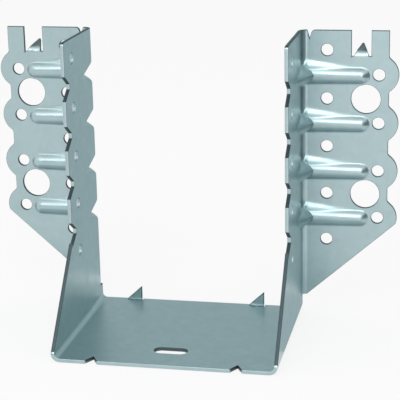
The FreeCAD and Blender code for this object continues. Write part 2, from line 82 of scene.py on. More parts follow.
class HangerShape(bpy.types.PropertyGroup):
    """Sizes of the hanger."""
    thickness: length("Sheet", "Thickness of the sheet", 1.5)
    fold_radius: length("Fold radius", "Inside radius of the folds beside the seat", 2.0)
    wing_radius: length("Wing radius", "Inside radius of the folds beside the wings", 2.0)
    joist_width: length("Joist width", "Clear width between the walls", 87.0)
    seat_depth: length("Seat depth", "Seat from its front edge to the header", 72.0)
    height: length("Height", "Top of walls and wings above the underside", 120.97)
    wall_depth: length("Wall depth", "Upper wall from the header to its front edge", 41.0)
    taper_foot: length("Taper foot", "Height where the wall's slanted edge starts", 3.5)
    taper_top: length("Taper top", "Height where the slanted edge ends", 39.0)
    wing_foot: length("Wing foot", "Height where a wing starts", 8.0)
    foot_slit: length("Foot slit", "Slit between a wing's fold and the wall below it", 0.3)
    wing_edge: length("Wing edge", "Wing's outer edge from the middle", 80.2)
    slant_level: length("Slant level", "Height where the wing's slant leaves the lobe", 40.2)
    slant_reach: length("Slant reach", "The same point from the middle", 83.4)
    lobe_radius: length("Lobe radius", "Lobe about each outer nail hole", 8.0)
    lobe_round: length("Lobe round", "Round between a lobe and the straight edge", 1.0)
    pitch: length("Hole pitch", "Height from one nail hole to the next", 20.0)
    nail: length("Nail hole", "Diameter of the nail holes", 5.0)
    bolt: length("Bolt hole", "Diameter of the bolt holes", 12.0)
    inner_reach: length("Inner nails", "Inner nail holes from the middle", 55.2)
    inner_level: length("Inner nail level", "Lowest inner nail hole", 33.0)
    inner_rows: IntProperty(name="Inner rows", description="Inner nail holes in a wing", default=5)
    outer_reach: length("Outer nails", "Outer nail holes from the middle", 76.2)
    outer_level: length("Outer nail level", "Lowest outer nail hole and rib", 43.0)
    outer_rows: IntProperty(name="Outer rows", description="Outer nail holes in a wing", default=4)
    bolt_reach: length("Bolt reach", "Bolt holes from the middle", 71.0)
    bolt_level: length("Bolt level", "Lower bolt hole", 53.0)
    bolt_pitch: length("Bolt pitch", "From the lower bolt hole to the upper one", 40.0)
    wall_nail: length("Wall nails", "Wall nail holes from the header", 30.5)
    notch_reach: length("Notch reach", "Near side of the wing's top notch", 65.0)
    notch_width: length("Notch width", "Width of the top notch", 8.0)
    notch_depth: length("Notch depth", "Depth of the top notch", 10.5)
    relief_width: length("Relief width", "Relief at the top of the wing's fold", 2.0)
    relief_depth: length("Relief depth", "Depth of the relief", 3.5)
    prong_width: length("Prong width", "Prong at its root", 6.0)
    prong_length: length("Prong length", "Prong along the sheet", 6.6)
    prong_tip: length("Prong tip", "Width of the prong's point", 0.7)
    prong_skew: offset("Prong skew", "Shift of the right point to the middle", -0.3)
    left_prong_skew: offset("Left prong skew", "Shift of the left point to the middle", 1.2)
    prong_radius: length("Prong fold", "Middle radius of the prong's fold", 1.6)
    prong_turn: FloatProperty(name="Prong turn", description="Angle that a prong leans back",
                              default=math.radians(55), subtype="ANGLE")
    scallop_level: length("Scallop level", "Lowest notch in a wall's front edge", 42.5)
    scallop_depth: length("Scallop depth", "Depth of the notches", 6.0)
    scallop_mouth: length("Scallop mouth", "Height of a notch at the edge", 10.0)
    scallop_root: length("Scallop root", "Height of a notch at its bottom", 2.0)
    corner_round: length("Corner round", "Rounded corners of wall and tab", 1.4)
    slot_length: length("Slot length", "Slot in the seat, across", 13.6)
    slot_width: length("Slot width", "Slot in the seat, along", 6.0)
    slot_setback: length("Slot setback", "Middle of the slot from the header", 57.0)
    seat_notch_reach: length("Seat notches", "Notches in the front edge from the middle", 28.8)
    seat_notch_width: length("Seat notch width", "Width of a notch", 5.0)
    seat_notch_depth: length("Seat notch depth", "Depth of a notch", 4.5)
    tooth_width: length("Tooth width", "Tooth at the seat's rear edge", 5.8)
    tooth_top: length("Tooth top", "Height of a tooth's point", 7.4)
    tooth_side: length("Tooth side", "Upright side of the right tooth", 28.4)
    tooth_spacing: length("Tooth spacing", "From one tooth to the other", 54.0)
    tooth_slit: length("Tooth slit", "Slit beside a tooth", 0.35)
    tooth_radius: length("Tooth fold", "Middle radius of a tooth's fold", 1.35)
    rib_end: length("Rib end", "Rib's rounded end from the middle", 72.0)
    rib_rise: length("Rib rise", "Height of a rib above the wing", 2.1)
    rib_radius: length("Rib radius", "Crest radius of a rib at the fold", 2.7)
    rib_end_radius: length("Rib end radius", "Crest radius of a rib at its outer end", 2.0)
    rib_sag: length("Rib sag", "Crest of a rib below the level of its nail hole", 0.5)
    rib_blend: length("Rib blend", "Softness where a rib leaves the wing", 1.1)
    ripple_rise: length("Ripple rise", "Height of the ripple above a rib at the fold", 1.15)
    ripple_radius: length("Ripple radius", "Crest radius of the ripple", 2.9)
    ripple_gap: length("Ripple gap", "Ripple above the rib at the fold", 3.3)
    ripple_close: length("Ripple close", "Ripple above the rib at its outer end", 1.4)
    ripple_end: length("Ripple end", "Outer end of the ripple from the middle", 70.0)
    ripple_hold: ratio("Ripple hold", "Below 1 the ripple keeps its height for longer", 0.4)
    dart_foot: length("Dart foot", "Foot of a corner dart from the header", 17.0)
    dart_reach: length("Dart reach", "Dart's valley from the wall's inner face", 6.8)
    dart_mouth: length("Dart mouth", "Half the dart's height at the corner", 4.4)
    dart_round: length("Dart round", "Radius at the bottom of the dart's valley", 0.5)
    dart_crest: length("Dart crest", "Softness of the dart's ridge", 0.8)
    dart_blend: length("Dart blend", "Softness where a dart leaves the wall", 0.9)
    fine: length("Fine spacing", "Mesh spacing at folds, ribs and edges", 0.72)
    coarse: length("Coarse spacing", "Mesh spacing on the flats", 1.7)
    edge_round: length("Edge round", "Round on the blanked edges", 0.16)


class HangerFinish(bpy.types.PropertyGroup):
    """Colours of the zinc."""
    zinc: tint("Zinc", "Colour of the zinc coat", (0.47, 0.595, 0.615))
    zinc_dull: tint("Dull zinc", "Colour of the greyer grains", (0.405, 0.52, 0.54))
    # Painted shade: a darker zinc colour for the teeth.
    teeth_painted_shade: tint("Scraped zinc", "Colour of the sheared teeth", (0.24, 0.34, 0.355))
    # Painted light: a lighter edge colour for the walls' upright front edges and nail-hole rims.
    painted_light_edge: tint("Bright edge", "Colour of the walls' upright front edges",
                      (0.46, 0.56, 0.58))
    # Bare-steel tone of the blanked edges, darkened further as painted shade on the edges and hole
    # rims.
    cut_edge_and_shade: tint("Cut edge", "Colour of the blanked edges", (0.095, 0.13, 0.14))
    roughness: ratio("Roughness", "Mean roughness of the coat", 0.34)
    edge_roughness: ratio("Edge roughness", "Roughness of the blanked edges", 0.55)
    teeth_painted_shade_roughness: ratio("Scraped roughness", "Roughness of the sheared teeth", 0.5)
    painted_light_roughness: ratio("Bright roughness", "Roughness of the bright edges", 0.4)
    grain: length("Grain", "Size of a zinc grain", 3.2)


class HangerStudio(bpy.types.PropertyGroup):
    """Camera, floor and light."""
    floor: tint("Floor", "Colour of the floor", (0.9, 0.9, 0.9))
    camera_place: FloatVectorProperty(name="Camera", description="Place of the camera",
                                      subtype="TRANSLATION", size=3,
                                      default=(0.118371, -0.516854, 0.209622))
    camera_turn: FloatVectorProperty(name="Camera turn", description="Heading, dip and lean",
                                     subtype="EULER", size=3,
                                     default=(math.radians(11.984), math.radians(16.015),
                                              math.radians(1.233)))
    lens: FloatProperty(name="Lens", description="Focal length", default=124.28, unit="CAMERA")
    world_light: FloatProperty(name="World light", description="Strength of the even light",
                               default=0.75)
    # This tone also serves the floor card, painted shadow on the floor under and behind the
    # hanger.
    rear_card: tint("Rear card", "Tone of the cards behind, in front and below",
                    (0.50, 0.59, 0.605))
    side_card: tint("Side card", "Tone of the card beside it", (0.2, 0.245, 0.255))
    dark_card: tint("Dark card", "Tone of the card above it", (0.07, 0.11, 0.115))


# The blank at z = 0: x across the seat and on up the walls, y to the header and out the wings
def bend_length(radius, size):
    """Length of a quarter turn along the middle of the sheet."""
    return (radius + size.thickness / 2) * QUARTER


def wall_fold(size):
    return size.joist_width / 2 - size.fold_radius


def wing_fold(size):
    return size.seat_depth / 2 - size.wing_radius - size.thickness


def bend_end(size):
    """Reach where a wing's fold ends and its flat begins."""
    return size.joist_width / 2 + size.thickness + size.wing_radius


def up(size, level):
    """First flat coordinate of a height on the wall or wing."""
    start = wall_fold(size) + bend_length(size.fold_radius, size)
    return start + level - size.fold_radius - size.thickness


def out(size, reach):
    """Second flat coordinate of a distance from the middle plane on the wing."""
    return wing_fold(size) + bend_length(size.wing_radius, size) + reach - bend_end(size)


def round_corner(before, corner, after, radius, steps=5):
    """Points of an arc-like round between two sides that meet at corner."""
    start = corner + (before - corner).normalized() * radius
    end = corner + (after - corner).normalized() * radius
    points = []
    for i in range(steps + 1):
        t = i / steps
        points.append(start.lerp(corner, t).lerp(corner.lerp(end, t), t))
    return points


def outer_edge(size, level):
    """Reach of the lobed outer edge of a wing at a height."""
    rows = range(size.outer_rows)
    gap = min(abs(level - size.outer_level - size.pitch * k) for k in rows)
    bow = max(size.lobe_radius ** 2 - gap ** 2, 0.0)
    lobe = size.outer_reach + math.sqrt(bow)
    blend = size.lobe_round
    spread = max(blend - abs(lobe - size.wing_edge), 0.0) / blend
    return max(lobe, size.wing_edge) + spread * spread * blend / 4


def half_outline(size, skew):
    """Outline of half the blank, from the front middle to the rear middle."""
    header = size.seat_depth / 2
    front_edge = header - size.wall_depth
    top = up(size, size.height)
    notch_bottom = up(size, size.height - size.notch_depth)
    near = out(size, size.notch_reach)
    far = out(size, size.notch_reach + size.notch_width)
    prong = (near + far) / 2
    prong_point = notch_bottom + size.prong_length
    prong_half = size.prong_width / 2
    tip_half = size.prong_tip / 2
    reach = size.seat_notch_reach
    half = size.seat_notch_width / 2

    path = [Vector(p) for p in (
        (reach - half, -header),
        (reach, -header + size.seat_notch_depth),
        (reach + half, -header),
        (up(size, size.taper_foot), -header),
        (up(size, size.taper_top), front_edge),
    )]
    mouth = size.scallop_mouth / 2
    root = size.scallop_root / 2
    for k in range(size.outer_rows):
        level = size.scallop_level + k * size.pitch
        path.append(Vector((up(size, level - mouth), front_edge)))
        path.append(Vector((up(size, level - root), front_edge + size.scallop_depth)))
        path.append(Vector((up(size, level + root), front_edge + size.scallop_depth)))
        path.append(Vector((up(size, level + mouth), front_edge)))
    relief = out(size, bend_end(size))
    relief_end = Vector((top, relief + size.relief_width))
    relief_bottom = Vector((up(size, size.height - size.relief_depth),
                            relief + size.relief_width / 2))
    path += round_corner(path[-1], Vector((top, front_edge)), Vector((top, relief)),
                         size.corner_round)
    path.append(Vector((top, relief)))
    path.append(relief_bottom)
    path += round_corner(relief_bottom, relief_end, Vector((top, near)), size.corner_round)
    path += [Vector(p) for p in (
        (top, near),
        (notch_bottom, near),
        (notch_bottom, prong - prong_half),
        (prong_point, prong - skew - tip_half),
        (prong_point, prong - skew + tip_half),
        (notch_bottom, prong + prong_half),
        (notch_bottom, far),
        (top, far),
        (top, out(size, size.wing_edge)),
    )]
    level = (size.outer_level + size.pitch * (size.outer_rows - 1)
             + size.lobe_radius + size.lobe_round)
    while level > size.slant_level:
        path.append(Vector((up(size, level), out(size, outer_edge(size, level)))))
        level -= size.fine
    path += [Vector(p) for p in (
        (up(size, size.slant_level), out(size, size.slant_reach)),
        (up(size, size.wing_foot), relief),
        (up(size, size.wing_foot), wing_fold(size)),
        (up(size, size.wing_foot) - size.foot_slit, wing_fold(size)),
        (up(size, size.wing_foot) - size.foot_slit, header),
    )]
    return path


def tooth_path(size, side):
    """A tooth of the rear edge with its slits, from right to left."""
    header = size.seat_depth / 2
    start = header - size.thickness / 2 - size.tooth_radius
    bend = size.tooth_radius * QUARTER
    straight = size.tooth_top - size.thickness / 2 - size.tooth_radius
    root = start + bend
    left = side - size.tooth_width
    return [Vector(p) for p in (
        (side + size.tooth_slit, header),
        (side + size.tooth_slit, start),
        (side, start),
        (side, root + straight),
        (left, root),
        (left, start),
        (left - size.tooth_slit, start),
        (left - size.tooth_slit, header),
    )]


def circle_path(x, y, radius, spacing):
    count = max(24, int(2 * math.pi * radius / spacing))
    return [Vector((x + radius * math.cos(2 * math.pi * i / count),
                    y + radius * math.sin(2 * math.pi * i / count))) for i in range(count)]


def slot_path(x, y, long, wide, steps=14):
    radius = wide / 2
    reach = long / 2 - radius
    points = []
    for side in (1, -1):
        for i in range(steps + 1):
            angle = -QUARTER + math.pi * i / steps
            points.append(Vector((x + side * (reach + radius * math.cos(angle)),
                                  y + side * radius * math.sin(angle))))
    return points


def hole_paths(size):
    """Every hole of the blank."""
    header = size.seat_depth / 2
    holes = [slot_path(0.0, header - size.slot_setback, size.slot_length, size.slot_width)]
    for side in (1, -1):
        for k in range(size.inner_rows):
            level = up(size, size.inner_level + k * size.pitch)
            for y in (out(size, size.inner_reach), header - size.wall_nail):
                holes.append(circle_path(side * level, y, size.nail / 2, size.fine))
        for k in range(size.outer_rows):
            level = up(size, size.outer_level + k * size.pitch)
            holes.append(circle_path(side * level, out(size, size.outer_reach),
                                     size.nail / 2, size.fine))
        for k in range(2):
            level = up(size, size.bolt_level + k * size.bolt_pitch)
            holes.append(circle_path(side * level, out(size, size.bolt_reach),
                                     size.bolt / 2, size.fine))
    return holes


def blank_paths(size):
    """The closed outline of the whole blank, and its holes."""
    right = half_outline(size, size.prong_skew)
    teeth = tooth_path(size, size.tooth_side)
    teeth += tooth_path(size, size.tooth_side - size.tooth_spacing)
    left = [Vector((-p.x, p.y)) for p in reversed(half_outline(size, size.left_prong_skew))]
    return right + teeth + left, hole_paths(size)


def divide(path, spacing):
    """A closed path with points no further apart than spacing."""
    points = []
    for i, start in enumerate(path):
        end = path[(i + 1) % len(path)]
        steps = max(1, math.ceil((end - start).length / spacing))
        points += [start.lerp(end, k / steps) for k in range(steps)]
    return points


def busy(size, point):
    """True where the sheet is folded or pressed and the mesh has to be fine."""
    x = abs(point.x)
    fold = wall_fold(size)
    start = wing_fold(size)
    margin = 1.5 * MM
    rib_past, rib_half = 3 * MM, 8 * MM
    dart_past, dart_half = 5 * MM, 7.5 * MM
    if fold - margin < x < fold + bend_length(size.fold_radius, size) + margin:
        return True
    if x < fold:
        return False
    if start - margin < point.y < start + bend_length(size.wing_radius, size) + margin:
        return True
    rib = x - up(size, size.outer_level)
    gap = abs(rib - size.pitch * round(min(max(rib / size.pitch, 0), size.outer_rows - 1)))
    if start < point.y < out(size, size.rib_end) + rib_past:
        return gap < rib_half
    if size.seat_depth / 2 - size.dart_foot - dart_past < point.y <= start:
        return gap < dart_half
    return x > up(size, size.height - size.notch_depth) and point.y > out(size, size.notch_reach)


def grid_points(size, spacing, keep):
    """Points of a staggered grid over the blank, in rows of equal triangles."""
    rise = spacing * math.sqrt(0.75)
    half_width = up(size, size.height)
    low = -size.seat_depth / 2
    high = out(size, size.outer_reach + size.lobe_radius)
    points = []
    row = 0
    while low + row * rise < high:
        y = low + row * rise
        shift = spacing / 2 if row % 2 else 0.0
        count = int(half_width / spacing) + 1
        for i in range(-count, count + 1):
            point = Vector((i * spacing + shift, y))
            if keep(point):
                points.append(point)
        row += 1
    return points


def blank_mesh(size):
    """The flat sheet as a fine triangle mesh, its holes left open."""
    outline, holes = blank_paths(size)
    loops = [divide(path, size.fine) for path in [outline] + holes]
    rims = [p for loop in loops for p in loop]
    near = KDTree(len(rims))
    for i, p in enumerate(rims):
        near.insert((p.x, p.y, 0.0), i)
    near.balance()

    def clear_of_rim(point, gap):
        return near.find((point.x, point.y, 0.0))[2] > gap

    points = list(rims)
    points += grid_points(size, size.fine,
                          lambda p: busy(size, p) and clear_of_rim(p, 0.6 * size.fine))
    points += grid_points(size, size.coarse,
                          lambda p: not busy(size, p) and clear_of_rim(p, 0.5 * size.coarse))
    faces = []
    first = 0
    for loop in loops:
        faces.append(list(range(first, first + len(loop))))
        first += len(loop)
    # A face that lies inside two loops, the outline and a hole, is a hole.
    inside, merge_gap = 1, 1e-6
    result = delaunay_2d_cdt(points, [], faces, inside, merge_gap, True)
    corners, triangles, sources = result[0], result[2], result[5]
    kept = [t for t, owners in zip(triangles, sources) if list(owners) == [0]]
    mesh = bpy.data.meshes.new("blank")
    mesh.from_pydata([(p.x, p.y, 0.0) for p in corners], [], kept)
    work = bmesh.new()
    work.from_mesh(mesh)
    loose = [v for v in work.verts if not v.link_faces]
    bmesh.ops.delete(work, geom=loose, context="VERTS")
    bmesh.ops.recalc_face_normals(work, faces=work.faces)
    if work.faces[0].normal.z < 0:
        bmesh.ops.reverse_faces(work, faces=work.faces)
    work.to_mesh(mesh)
    work.free()
    if not mesh.polygons:
        raise RuntimeError("the blank has no faces")
    return mesh


class Wire:
    """A value in a node tree that can be used in ordinary sums."""

    def __init__(self, tree, socket):
        self.tree = tree
        self.socket = socket

    def op(self, kind, *others):
        node = self.tree.nodes.new("ShaderNodeMath")
        node.operation = kind
        for place, value in enumerate((self,) + others):
            if isinstance(value, Wire):
                self.tree.links.new(value.socket, node.inputs[place])
            else:
                node.inputs[place].default_value = value
        return Wire(self.tree, node.outputs[0])

    def __add__(self, other):
        return self.op("ADD", other)

    def __sub__(self, other):
        return self.op("SUBTRACT", other)

    def __mul__(self, other):
        return self.op("MULTIPLY", other)

    def __truediv__(self, other):
        return self.op("DIVIDE", other)


def new_tree(name, inputs, outputs):
    """A geometry node group with named inputs: (name, socket type, default)."""
    tree = bpy.data.node_groups.new(name, "GeometryNodeTree")
    for label, kind, default in inputs:
        socket = tree.interface.new_socket(label, in_out="INPUT", socket_type=kind)
        if default is not None:
            socket.default_value = default
    for label, kind in outputs:
        tree.interface.new_socket(label, in_out="OUTPUT", socket_type=kind)
    entry = tree.nodes.new("NodeGroupInput")
    leave = tree.nodes.new("NodeGroupOutput")
    wires = {label: Wire(tree, entry.outputs[label]) for label, _, _ in inputs}
    return tree, wires, leave


def fold_group():
    """One fold: what lies past Start turns about it by Angle, to the side of Sign."""
    name = "Fold"
    if name in bpy.data.node_groups:
        return bpy.data.node_groups[name]
    number = "NodeSocketFloat"
    tree, w, leave = new_tree(name, [
        ("Along", number, 0.0), ("Off", number, 0.0), ("Start", number, 0.0),
        ("Radius", number, 0.01), ("Angle", number, QUARTER), ("Sign", number, 1.0),
        ("Active", number, 1.0),
    ], [("Along", number), ("Off", number)])
    past = (w["Along"] - w["Start"]).op("MAXIMUM", 0.0) * w["Active"]
    curved = past.op("MINIMUM", w["Radius"] * w["Angle"])
    turn = curved / w["Radius"]
    rest = past - curved
    sine = turn.op("SINE")
    cosine = turn.op("COSINE")
    arm = w["Radius"] - w["Off"] * w["Sign"]
    along = w["Along"] - past + arm * sine + rest * cosine
    off = (w["Radius"] - arm * cosine + rest * sine) * w["Sign"]
    tree.links.new(along.socket, leave.inputs["Along"])
    tree.links.new(off.socket, leave.inputs["Off"])
    return tree


def use_fold(tree, along, off, start, radius, angle, sign, active):
    node = tree.nodes.new("GeometryNodeGroup")
    node.node_tree = fold_group()
    values = (along, off, start, radius, angle, sign, active)
    for socket, value in zip(node.inputs, values):
        if isinstance(value, Wire):
            tree.links.new(value.socket, socket)
        else:
            socket.default_value = value
    return Wire(tree, node.outputs["Along"]), Wire(tree, node.outputs["Off"])


def between(value, low, high):
    """1 where value lies between low and high, else 0."""
    return value.op("GREATER_THAN", low) * value.op("LESS_THAN", high)


def split(tree, wire):
    node = tree.nodes.new("ShaderNodeSeparateXYZ")
    tree.links.new(wire.socket, node.inputs[0])
    return [Wire(tree, node.outputs[i]) for i in range(3)]


def move_points(tree, geometry, x, y, z):
    """Set Position from three coordinates."""
    joined = tree.nodes.new("ShaderNodeCombineXYZ")
    for place, value in enumerate((x, y, z)):
        tree.links.new(value.socket, joined.inputs[place])
    mover = tree.nodes.new("GeometryNodeSetPosition")
    tree.links.new(geometry.socket, mover.inputs["Geometry"])
    tree.links.new(joined.outputs[0], mover.inputs["Position"])
    return Wire(tree, mover.outputs["Geometry"])


def position(tree):
    return Wire(tree, tree.nodes.new("GeometryNodeInputPosition").outputs[0])


def hanger_tree(values):
    """The tree that folds the blank and presses the ribs and darts into it."""
    inputs = [("Geometry", "NodeSocketGeometry", None)]
    inputs += [(name, "NodeSocketFloat", value) for name, value in values.items()]
    inputs.append(("Material", "NodeSocketMaterial", None))
    tree, w, leave = new_tree("Folded hanger", inputs, [("Geometry", "NodeSocketGeometry")])

    across, along, _ = split(tree, position(tree))
    side = across.op("SIGN")
    height = across.op("ABSOLUTE")
    flat = across * 0.0
    in_prong = between(along, w["Prong near"], w["Prong far"])
    height, off = use_fold(tree, height, flat, w["Prong root"], w["Prong radius"],
                           w["Prong turn"], 1.0, in_prong)
    in_seat = height.op("LESS_THAN", w["Wall fold"])
    in_wall = flat + 1.0 - in_seat
    from_tooth = ((across - w["Tooth middle"]).op("ABSOLUTE") - w["Tooth spread"]).op("ABSOLUTE")
    in_tooth = in_seat * from_tooth.op("LESS_THAN", w["Tooth half width"])
    along, off = use_fold(tree, along, off, w["Tooth start"], w["Tooth radius"], QUARTER, 1.0,
                          in_tooth)
    along, off = use_fold(tree, along, off, w["Wing fold"], w["Wing radius"], QUARTER, -1.0,
                          in_wall * height.op("GREATER_THAN", w["Wing foot"]))
    height, off = use_fold(tree, height, off, w["Wall fold"], w["Fold radius"], QUARTER, 1.0,
                           in_wall)
    folded = move_points(tree, w["Geometry"], height * side, along, off + w["Middle height"])

    # The ribs: a rounded bead along each level, pressed to the front.
    x, y, z = split(tree, position(tree))
    side = x.op("SIGN")
    reach = x.op("ABSOLUTE")
    row = ((z - w["Rib level"]) / w["Rib pitch"]).op("ROUND").op("MAXIMUM", 0.0)
    row = row.op("MINIMUM", w["Rib rows"] - 1.0)
    gap = z - w["Rib level"] - row * w["Rib pitch"]
    past_end = (reach - w["Rib end"]).op("MAXIMUM", 0.0)
    fade = (w["Ripple end"] - reach) / (w["Ripple end"] - w["Bend end"])
    fade = fade.op("MAXIMUM", 0.0).op("MINIMUM", 1.0)
    radius = w["Rib end radius"] + (w["Rib radius"] - w["Rib end radius"]) * fade
    crest = w["Rib rise"] - (gap * gap + past_end * past_end) / (radius * 2.0)
    # Above each rib the sheet stands up in a low ripple that dies out along it.
    above = gap - w["Ripple close"] - (w["Ripple gap"] - w["Ripple close"]) * fade
    ripple = (w["Ripple rise"] + w["Rib blend"]) * fade.op("POWER", w["Ripple hold"])
    ripple = ripple - w["Rib blend"] - above * above / (w["Ripple radius"] * 2.0)
    bead = crest.op("SMOOTH_MAX", ripple, w["Rib blend"] * 0.4)
    bead = bead.op("SMOOTH_MAX", 0.0, w["Rib blend"])
    on_wing = (reach - w["Bend middle"]) / (w["Bend end"] - w["Bend middle"])
    on_wing = on_wing.op("MAXIMUM", 0.0).op("MINIMUM", 1.0)
    at_header = y.op("GREATER_THAN", w["Header middle"] - w["Wing radius"])
    pressed_y = y - bead * on_wing * at_header

    # The darts: a ridged plane laid across each fold at the rib's level.
    ridge = (gap * gap + w["Dart crest"] * w["Dart crest"]).op("SQRT") - w["Dart crest"]
    plane = w["Dart level"] - ridge * w["Dart slope"]
    here = reach * w["Dart across"] - pressed_y * w["Dart along"]
    push = (plane - here).op("SMOOTH_MAX", 0.0, w["Dart blend"])
    past_fold = z.op("GREATER_THAN", w["Rib level"] - w["Rib pitch"] / 2.0)
    outside = reach.op("GREATER_THAN", w["Wall fold"])
    push = push * past_fold * outside
    done = move_points(tree, folded, (reach + push * w["Dart across"]) * side,
                       pressed_y - push * w["Dart along"], z)

    realize = tree.nodes.new("GeometryNodeRealizeInstances")
    tree.links.new(done.socket, realize.inputs[0])
    paint = tree.nodes.new("GeometryNodeSetMaterial")
    tree.links.new(realize.outputs[0], paint.inputs["Geometry"])
    tree.links.new(w["Material"].socket, paint.inputs["Material"])
    tree.links.new(paint.outputs[0], leave.inputs["Geometry"])
    return tree


def tree_values(size):
    """The tree's inputs, worked out from the sizes."""
    header = size.seat_depth / 2
    half = size.thickness / 2
    wall_inside = size.joist_width / 2
    prong = out(size, size.notch_reach + size.notch_width / 2)
    slant = math.hypot(size.dart_foot, size.dart_reach)
    across = size.dart_foot / slant
    along = size.dart_reach / slant
    valley = wall_inside * across - (header - size.dart_foot) * along
    corner = valley - (wall_inside * across - header * along)
    flank = math.hypot(corner, size.dart_mouth) / size.dart_mouth
    ridge = valley + half * flank - (size.dart_round + half) * (flank - 1)
    return {
        "Wall fold": wall_fold(size),
        "Wing fold": wing_fold(size),
        "Wing foot": up(size, size.wing_foot) - size.foot_slit / 2,
        "Fold radius": size.fold_radius + half,
        "Wing radius": size.wing_radius + half,
        "Prong root": up(size, size.height - size.notch_depth),
        "Prong near": prong - size.prong_width / 2 - HAIR,
        "Prong far": prong + size.prong_width / 2 + HAIR,
        "Prong radius": size.prong_radius,
        "Prong turn": size.prong_turn,
        "Tooth start": header - half - size.tooth_radius,
        "Tooth radius": size.tooth_radius,
        "Tooth middle": size.tooth_side - (size.tooth_width + size.tooth_spacing) / 2,
        "Tooth spread": size.tooth_spacing / 2,
        "Tooth half width": size.tooth_width / 2 + HAIR,
        "Middle height": half,
        "Header middle": header - half,
        "Bend middle": wall_inside + half,
        "Bend end": bend_end(size),
        "Rib level": size.outer_level - size.rib_sag,
        "Rib pitch": size.pitch,
        "Rib rows": float(size.outer_rows),
        "Rib end": size.rib_end - math.sqrt(2 * size.rib_end_radius * size.rib_rise),
        "Rib rise": size.rib_rise,
        "Rib radius": size.rib_radius,
        "Rib end radius": size.rib_end_radius,
        "Rib blend": size.rib_blend,
        "Ripple rise": size.ripple_rise,
        "Ripple radius": size.ripple_radius,
        "Ripple gap": size.ripple_gap,
        "Ripple close": size.ripple_close,
        "Ripple end": size.ripple_end,
        "Ripple hold": size.ripple_hold,
        "Dart level": ridge,
        "Dart across": across,
        "Dart along": along,
        "Dart slope": corner / size.dart_mouth,
        "Dart crest": size.dart_crest,
        "Dart blend": size.dart_blend,
    }


def set_input(modifier, name, value):
    for item in modifier.node_group.interface.items_tree:
        if item.item_type == "SOCKET" and item.in_out == "INPUT" and item.name == name:
            modifier[item.identifier] = value
            return
    raise RuntimeError("the tree has no input " + name)


def zinc_group():
    """Zinc grains and handling marks: a mask for colour, one for roughness and a height."""
    name = "Zinc grain"
    if name in bpy.data.node_groups:
        return bpy.data.node_groups[name]
    tree = bpy.data.node_groups.new(name, "ShaderNodeTree")
    for label, default in (("Grain", 300.0), ("Streak", 90.0), ("Contrast", 1.0)):
        socket = tree.interface.new_socket(label, in_out="INPUT", socket_type="NodeSocketFloat")
        socket.default_value = default
    for label in ("Tone", "Gloss", "Height"):
        tree.interface.new_socket(label, in_out="OUTPUT", socket_type="NodeSocketFloat")
    nodes, links = tree.nodes, tree.links
    entry = nodes.new("NodeGroupInput")
    leave = nodes.new("NodeGroupOutput")
    place = nodes.new("ShaderNodeTexCoord")
    warp = nodes.new("ShaderNodeTexNoise")
    warp.inputs["Scale"].default_value = 160.0
    warp.inputs["Detail"].default_value = 2.0
    links.new(place.outputs["Object"], warp.inputs["Vector"])
    shift = nodes.new("ShaderNodeVectorMath")
    shift.operation = "MULTIPLY_ADD"
    shift.inputs[1].default_value = (0.004, 0.004, 0.004)
    links.new(warp.outputs["Color"], shift.inputs[0])
    links.new(place.outputs["Object"], shift.inputs[2])
    cells = nodes.new("ShaderNodeTexVoronoi")
    cells.feature = "F1"
    links.new(shift.outputs[0], cells.inputs["Vector"])
    links.new(entry.outputs["Grain"], cells.inputs["Scale"])
    tone = nodes.new("ShaderNodeSeparateColor")
    links.new(cells.outputs["Color"], tone.inputs[0])
    cloud = nodes.new("ShaderNodeTexNoise")
    cloud.inputs["Detail"].default_value = 4.0
    cloud.inputs["Roughness"].default_value = 0.6
    links.new(place.outputs["Object"], cloud.inputs["Vector"])
    links.new(entry.outputs["Streak"], cloud.inputs["Scale"])
    fine = nodes.new("ShaderNodeTexNoise")
    fine.inputs["Scale"].default_value = 2600.0
    fine.inputs["Detail"].default_value = 3.0
    links.new(place.outputs["Object"], fine.inputs["Vector"])

    def blend(first, second, share):
        node = nodes.new("ShaderNodeMix")
        node.data_type = "FLOAT"
        node.inputs[0].default_value = share
        links.new(first, node.inputs[2])
        links.new(second, node.inputs[3])
        return node.outputs[0]

    def centre(value):
        """The mask pulled to its middle by the contrast."""
        node = nodes.new("ShaderNodeMath")
        node.operation = "SUBTRACT"
        links.new(value, node.inputs[0])
        node.inputs[1].default_value = 0.5
        scaled = nodes.new("ShaderNodeMath")
        scaled.operation = "MULTIPLY_ADD"
        links.new(node.outputs[0], scaled.inputs[0])
        links.new(entry.outputs["Contrast"], scaled.inputs[1])
        scaled.inputs[2].default_value = 0.5
        return scaled.outputs[0]

    links.new(centre(blend(tone.outputs[0], cloud.outputs[0], share=0.6)), leave.inputs["Tone"])
    links.new(centre(blend(tone.outputs[1], cloud.outputs[0], share=0.5)), leave.inputs["Gloss"])
    links.new(blend(tone.outputs[2], fine.outputs[0], share=0.75), leave.inputs["Height"])
    return tree


